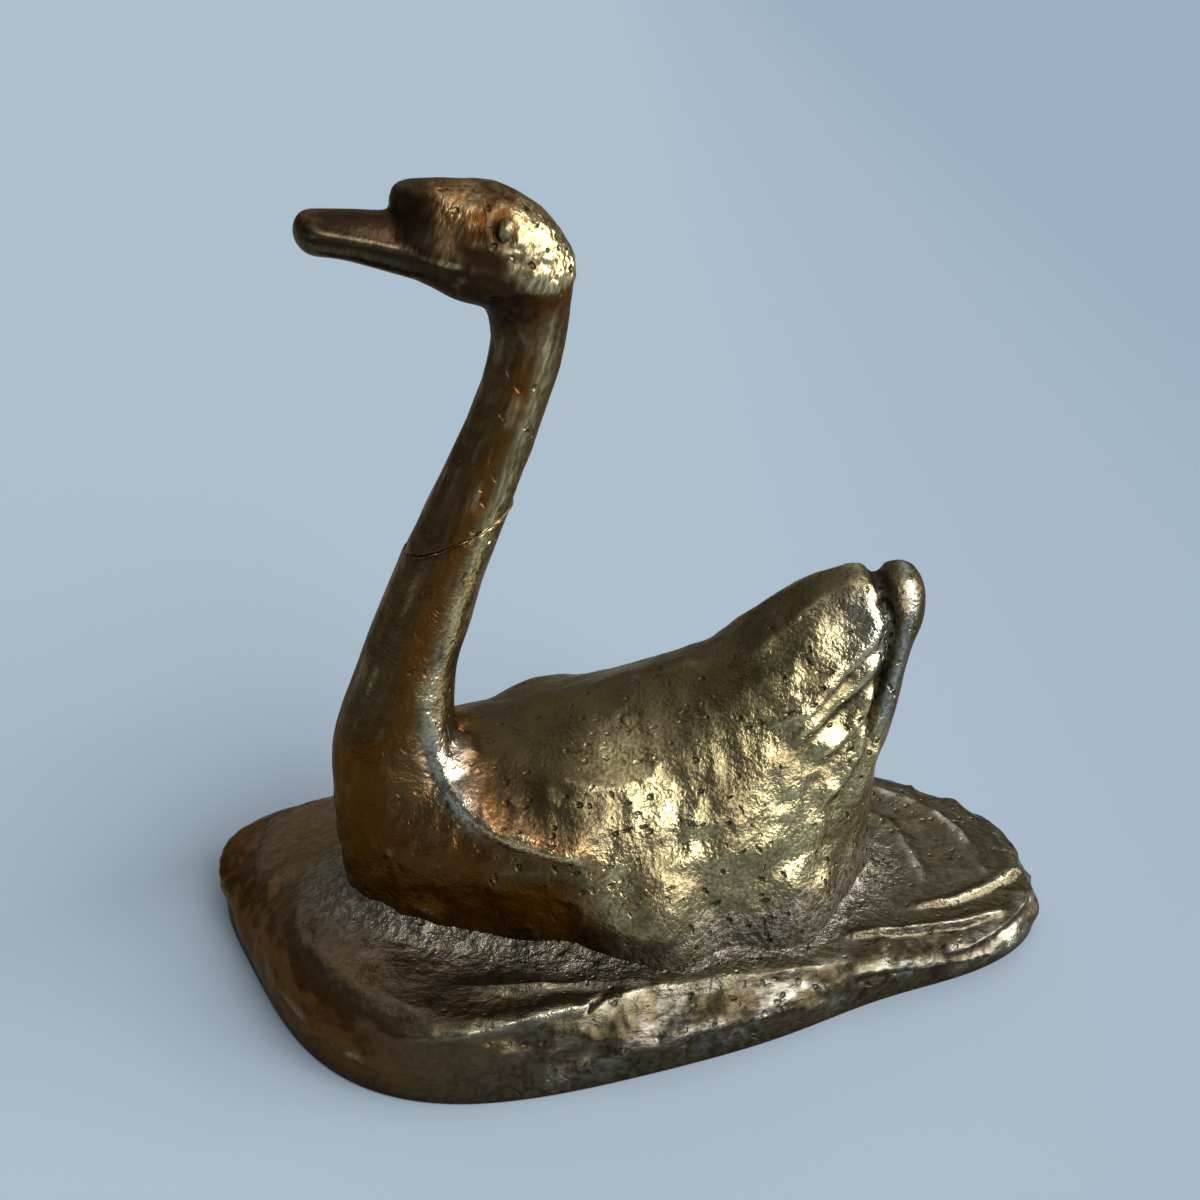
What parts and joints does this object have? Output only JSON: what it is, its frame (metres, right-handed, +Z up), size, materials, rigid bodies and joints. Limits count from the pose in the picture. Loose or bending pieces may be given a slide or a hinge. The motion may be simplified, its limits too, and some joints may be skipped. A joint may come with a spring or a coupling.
{
  "type": "swan sculpture",
  "caption": "Cast bronze swan with a tall curved neck, folded wings and a raised tail, swimming on a hollow base shaped as rippled water.",
  "frame": {"origin": "on the table, in the middle of the base", "axes": "+X the way the bird swims, +Y its left side, +Z up"},
  "size_m": [0.1988, 0.0986, 0.1782],
  "materials": {
    "water_bronze": "cast bronze, brown and olive-grey patina, worn on the crests",
    "body_bronze": "cast bronze, olive-gold patina with umber in the hollows",
    "head_bronze": "cast bronze, umber and dark purple-brown patina",
    "braze": "bare bronze braze and rod",
    "eye_bronze": "dark patina, polished on top",
    "plug_bronze": "bronze plug filed flush",
    "steel": "turned steel"
  },
  "bodies": {
    "root": {"water_base": "water_bronze", "swan_body": "body_bronze", "neck_and_head": "head_bronze", "neck_braze_ring": "braze", "neck_dowel": "braze", "left_eye": "eye_bronze", "right_eye": "eye_bronze", "left_core_plug": "plug_bronze", "right_core_plug": "plug_bronze", "front_fixing_bolt": "steel", "rear_fixing_bolt": "steel", "front_washer": "steel", "rear_washer": "steel"}
  },
  "joints": []
}
